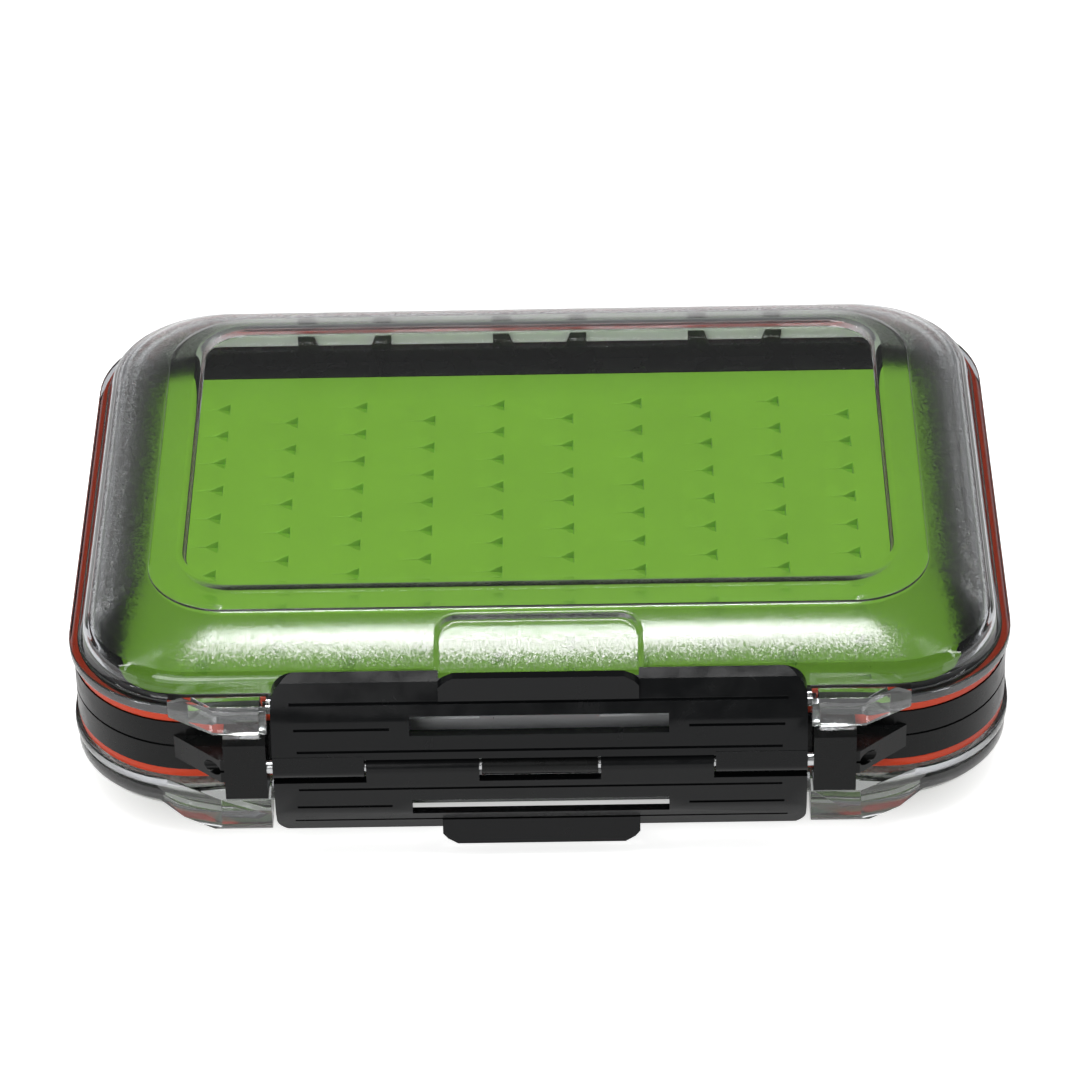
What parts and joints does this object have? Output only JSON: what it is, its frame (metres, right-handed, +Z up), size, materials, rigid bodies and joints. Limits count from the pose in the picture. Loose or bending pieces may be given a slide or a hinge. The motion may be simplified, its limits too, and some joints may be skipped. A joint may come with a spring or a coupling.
{
  "type": "fly box",
  "caption": "Double-sided waterproof fly box: slit silicone pads in a black frame, clear hinged lids, seals and two front snap latches on one pin.",
  "frame": {"origin": "centre of the footprint at the base, which is the flat rim round the bottom lid's window", "axes": "+X to the right along the hinge and latch pins, +Y from the latches to the hinges, +Z up out of the top lid"},
  "size_m": [0.154, 0.1258, 0.0392],
  "materials": {
    "black_abs": "moulded ABS, semi-gloss black",
    "black_latch": "moulded ABS, satin black",
    "clear_lid": "moulded clear polycarbonate, frosted dome round a clear window",
    "green_silicone": "moulded silicone rubber, matt bright green, slit",
    "orange_silicone": "moulded silicone rubber, satin orange red",
    "steel_pin": "drawn stainless steel wire"
  },
  "bodies": {
    "frame": {"frame": "black_abs", "upper_pad": "green_silicone", "lower_pad": "green_silicone", "upper_seal": "orange_silicone", "lower_seal": "orange_silicone", "latch_pin": "steel_pin", "upper_hinge_pins": "steel_pin", "lower_hinge_pins": "steel_pin"},
    "top_lid": {"top_lid": "clear_lid"},
    "bottom_lid": {"bottom_lid": "clear_lid"},
    "upper_latch": {"upper_latch": "black_latch"},
    "lower_latch": {"lower_latch": "black_latch"}
  },
  "joints": [
    {"name": "top_lid_hinge", "type": "hinge", "parent": "frame", "child": "top_lid", "pos_m": [0, 0.0603, 0.023], "axis": [-1, 0, 0], "range_deg": [0, 120]},
    {"name": "bottom_lid_hinge", "type": "hinge", "parent": "frame", "child": "bottom_lid", "pos_m": [0, 0.0603, 0.0162], "axis": [1, 0, 0], "range_deg": [0, 120]},
    {"name": "upper_latch_hinge", "type": "hinge", "parent": "frame", "child": "upper_latch", "pos_m": [0, -0.0609, 0.0196], "axis": [1, 0, 0], "range_deg": [0, 45]},
    {"name": "lower_latch_hinge", "type": "hinge", "parent": "frame", "child": "lower_latch", "pos_m": [0, -0.0609, 0.0196], "axis": [-1, 0, 0], "range_deg": [0, 45]}
  ]
}
